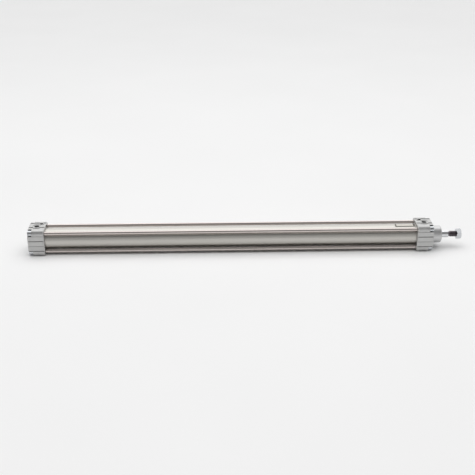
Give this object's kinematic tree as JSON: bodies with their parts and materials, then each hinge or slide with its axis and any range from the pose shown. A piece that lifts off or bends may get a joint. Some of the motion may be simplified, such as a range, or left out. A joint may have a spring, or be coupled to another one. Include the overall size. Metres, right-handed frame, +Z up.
{
  "type": "tie-rod pneumatic cylinder",
  "caption": "Long-stroke double-acting air cylinder: square end caps with top ports and cushion needles, round barrel held by tie rods, chromed rod with threaded end and lock nut.",
  "frame": {"origin": "on the cylinder's axis, at the front cap's mounting face", "axes": "+X along the axis towards the rod end, +Z up through the ports"},
  "size_m": [0.748, 0.047, 0.047],
  "materials": {
    "cast_aluminium": "die cast and vibratory finished, satin",
    "anodised_aluminium": "drawn tube, clear anodised, satin",
    "stainless_steel": "centreless ground, bright",
    "zinc_plated_steel": "bright zinc plate",
    "hard_chromed_steel": "hard chromed and polished",
    "sintered_bronze": "sintered, oil filled",
    "brass": "turned",
    "spring_steel": "blackened",
    "machined_aluminium": "turned",
    "nitrile_rubber": "matt black",
    "polyurethane": "satin",
    "guide_plastic": "matt",
    "ferrite_magnet": "sintered ferrite, matt"
  },
  "bodies": {
    "housing": {"front_cap": "cast_aluminium", "rear_cap": "cast_aluminium", "barrel": "anodised_aluminium", "tie_rod_1": "stainless_steel", "tie_rod_2": "stainless_steel", "tie_rod_3": "stainless_steel", "tie_rod_4": "stainless_steel", "front_tie_rod_nuts": "zinc_plated_steel", "rear_tie_rod_nuts": "zinc_plated_steel", "front_barrel_gasket": "nitrile_rubber", "rear_barrel_gasket": "nitrile_rubber", "front_cushion_seal": "polyurethane", "rear_cushion_seal": "polyurethane", "rod_bearing": "sintered_bronze", "rod_wiper": "nitrile_rubber", "front_needle_o_ring": "nitrile_rubber", "rear_needle_o_ring": "nitrile_rubber", "front_needle_clip": "spring_steel", "rear_needle_clip": "spring_steel"},
    "piston_rings": {"guide_ring": "guide_plastic", "front_piston_seal": "polyurethane", "rear_piston_seal": "polyurethane"},
    "rod": {"piston_rod": "hard_chromed_steel", "front_piston_half": "machined_aluminium", "rear_piston_half": "machined_aluminium", "magnet_ring": "ferrite_magnet", "front_bumper": "nitrile_rubber", "rear_bumper": "nitrile_rubber", "front_cushion_sleeve": "machined_aluminium", "rear_cushion_sleeve": "machined_aluminium", "piston_nut": "zinc_plated_steel", "rod_end_nut": "zinc_plated_steel"},
    "front_needle": {"front_cushion_needle": "brass"},
    "rear_needle": {"rear_cushion_needle": "brass"}
  },
  "joints": [
    {"name": "stroke", "type": "slide", "parent": "housing", "child": "piston_rings", "axis": [1, 0, 0], "range_m": [0, 0.6]},
    {"name": "rod_turn", "type": "hinge", "parent": "piston_rings", "child": "rod", "pos_m": [0, 0, 0], "axis": [1, 0, 0], "continuous": true},
    {"name": "front_needle_turn", "type": "hinge", "parent": "housing", "child": "front_needle", "pos_m": [-0.02, 0.0095, 0.0205], "axis": [0, 0, 1], "range_deg": [0, 720]},
    {"name": "rear_needle_turn", "type": "hinge", "parent": "housing", "child": "rear_needle", "pos_m": [-0.674, 0.0095, 0.0205], "axis": [0, 0, 1], "range_deg": [0, 720]}
  ]
}
